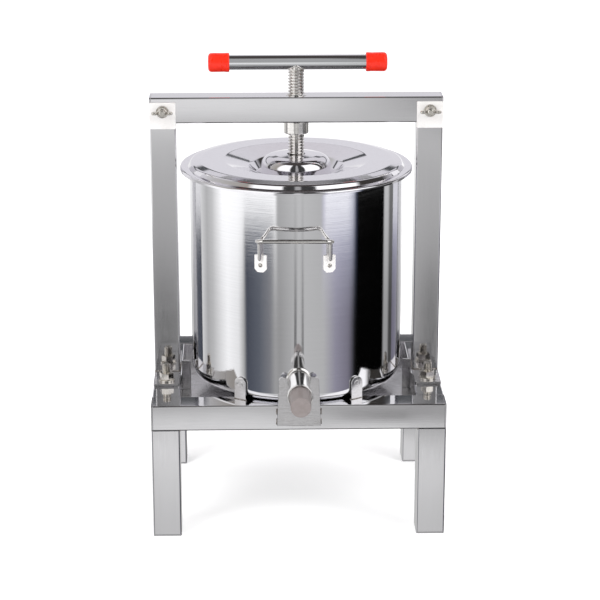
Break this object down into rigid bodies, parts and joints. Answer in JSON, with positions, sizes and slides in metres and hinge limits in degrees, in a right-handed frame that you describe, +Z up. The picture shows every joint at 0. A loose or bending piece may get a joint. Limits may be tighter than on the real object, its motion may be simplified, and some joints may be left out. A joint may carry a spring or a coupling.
{
  "type": "cheese press",
  "caption": "Tabletop press: square-tube stand, two posts and a crossbar whose T-handle screw drives a pressing plate inside a lidded drum with a strainer basket and front spout.",
  "frame": {"origin": "on the floor, at the centre of the four feet and on the press screw's axis", "axes": "+X to the right along the crossbar, +Y to the back, away from the spout, +Z up"},
  "size_m": [0.28, 0.3076, 0.4498],
  "materials": {
    "frame_steel": "polished stainless square tube with a faint grain along its length",
    "drum_steel": "mirror-polished stainless sheet with fine brush lines",
    "inner_steel": "satin stainless sheet",
    "screw_steel": "machined stainless, bright on the thread crests",
    "fastener_steel": "bright stainless fasteners",
    "handle_chrome": "mirror-polished tube",
    "cap_red": "soft red vinyl, semi-gloss",
    "stopper_grey": "matte grey food-grade silicone"
  },
  "bodies": {
    "stand": {"front_rail": "frame_steel", "rear_rail": "frame_steel", "right_side_rail": "frame_steel", "left_side_rail": "frame_steel", "rail_end_plates": "frame_steel", "front_right_leg": "frame_steel", "front_left_leg": "frame_steel", "rear_right_leg": "frame_steel", "rear_left_leg": "frame_steel", "leg_feet": "frame_steel", "floor_pan": "frame_steel", "right_foot_plate": "frame_steel", "left_foot_plate": "frame_steel", "right_post": "frame_steel", "left_post": "frame_steel", "right_crossbar_ears": "frame_steel", "left_crossbar_ears": "frame_steel", "foot_bolts": "fastener_steel", "foot_nuts": "fastener_steel", "foot_washers": "fastener_steel", "crossbar": "frame_steel", "crossbar_end_plates": "frame_steel", "screw_nut": "screw_steel", "clamp_bolts": "fastener_steel", "front_drum_lugs": "frame_steel", "rear_drum_lugs": "frame_steel", "side_drum_stops": "frame_steel", "spout_yoke": "frame_steel", "drum": "drum_steel", "spout_pipe": "drum_steel", "spout_collar": "drum_steel", "spout_bead": "drum_steel", "front_grip": "drum_steel", "rear_grip": "drum_steel", "grip_ears": "drum_steel", "grip_rivets": "fastener_steel", "strainer_basket": "inner_steel", "basket_feet": "inner_steel"},
    "lid": {"lid": "drum_steel"},
    "spout_stopper": {"stopper": "stopper_grey"},
    "pressing_plate": {"press_plate": "inner_steel", "swivel_hub": "inner_steel", "swivel_cap": "inner_steel"},
    "screw": {"press_screw": "screw_steel", "handle_tube": "handle_chrome", "left_handle_cap": "cap_red", "right_handle_cap": "cap_red"},
    "left_washer": {"left_clamp_washer": "fastener_steel"},
    "left_nut": {"left_wing_nut": "fastener_steel"},
    "right_washer": {"right_clamp_washer": "fastener_steel"},
    "right_nut": {"right_wing_nut": "fastener_steel"}
  },
  "joints": [
    {"name": "press_travel", "type": "slide", "parent": "stand", "child": "pressing_plate", "axis": [0, 0, 1], "range_m": [-0.021, 0.15]},
    {"name": "screw_turn", "type": "hinge", "parent": "pressing_plate", "child": "screw", "pos_m": [0, 0, 0.4406], "axis": [0, 0, 1], "range_deg": [-2520, 18000]},
    {"name": "lid_lift", "type": "slide", "parent": "stand", "child": "lid", "axis": [0, 0, 1], "range_m": [0, 0.02]},
    {"name": "stopper_pull", "type": "slide", "parent": "stand", "child": "spout_stopper", "axis": [0, -1, 0], "range_m": [0, 0.04]},
    {"name": "left_washer_slide", "type": "slide", "parent": "stand", "child": "left_washer", "axis": [0, -1, 0], "range_m": [0, 0.008]},
    {"name": "left_wing_nut_turn", "type": "hinge", "parent": "left_washer", "child": "left_nut", "pos_m": [-0.1273, -0.019, 0.3962], "axis": [0, -1, 0], "range_deg": [0, 2880]},
    {"name": "right_washer_slide", "type": "slide", "parent": "stand", "child": "right_washer", "axis": [0, -1, 0], "range_m": [0, 0.008]},
    {"name": "right_wing_nut_turn", "type": "hinge", "parent": "right_washer", "child": "right_nut", "pos_m": [0.1273, -0.019, 0.3962], "axis": [0, -1, 0], "range_deg": [0, 2880]}
  ],
  "couplings": [
    {"joint": "press_travel", "follows": "screw_turn", "m_per_rad": 0.00047746},
    {"joint": "left_washer_slide", "follows": "left_wing_nut_turn", "m_per_rad": 0.00015914},
    {"joint": "right_washer_slide", "follows": "right_wing_nut_turn", "m_per_rad": 0.00015914}
  ]
}
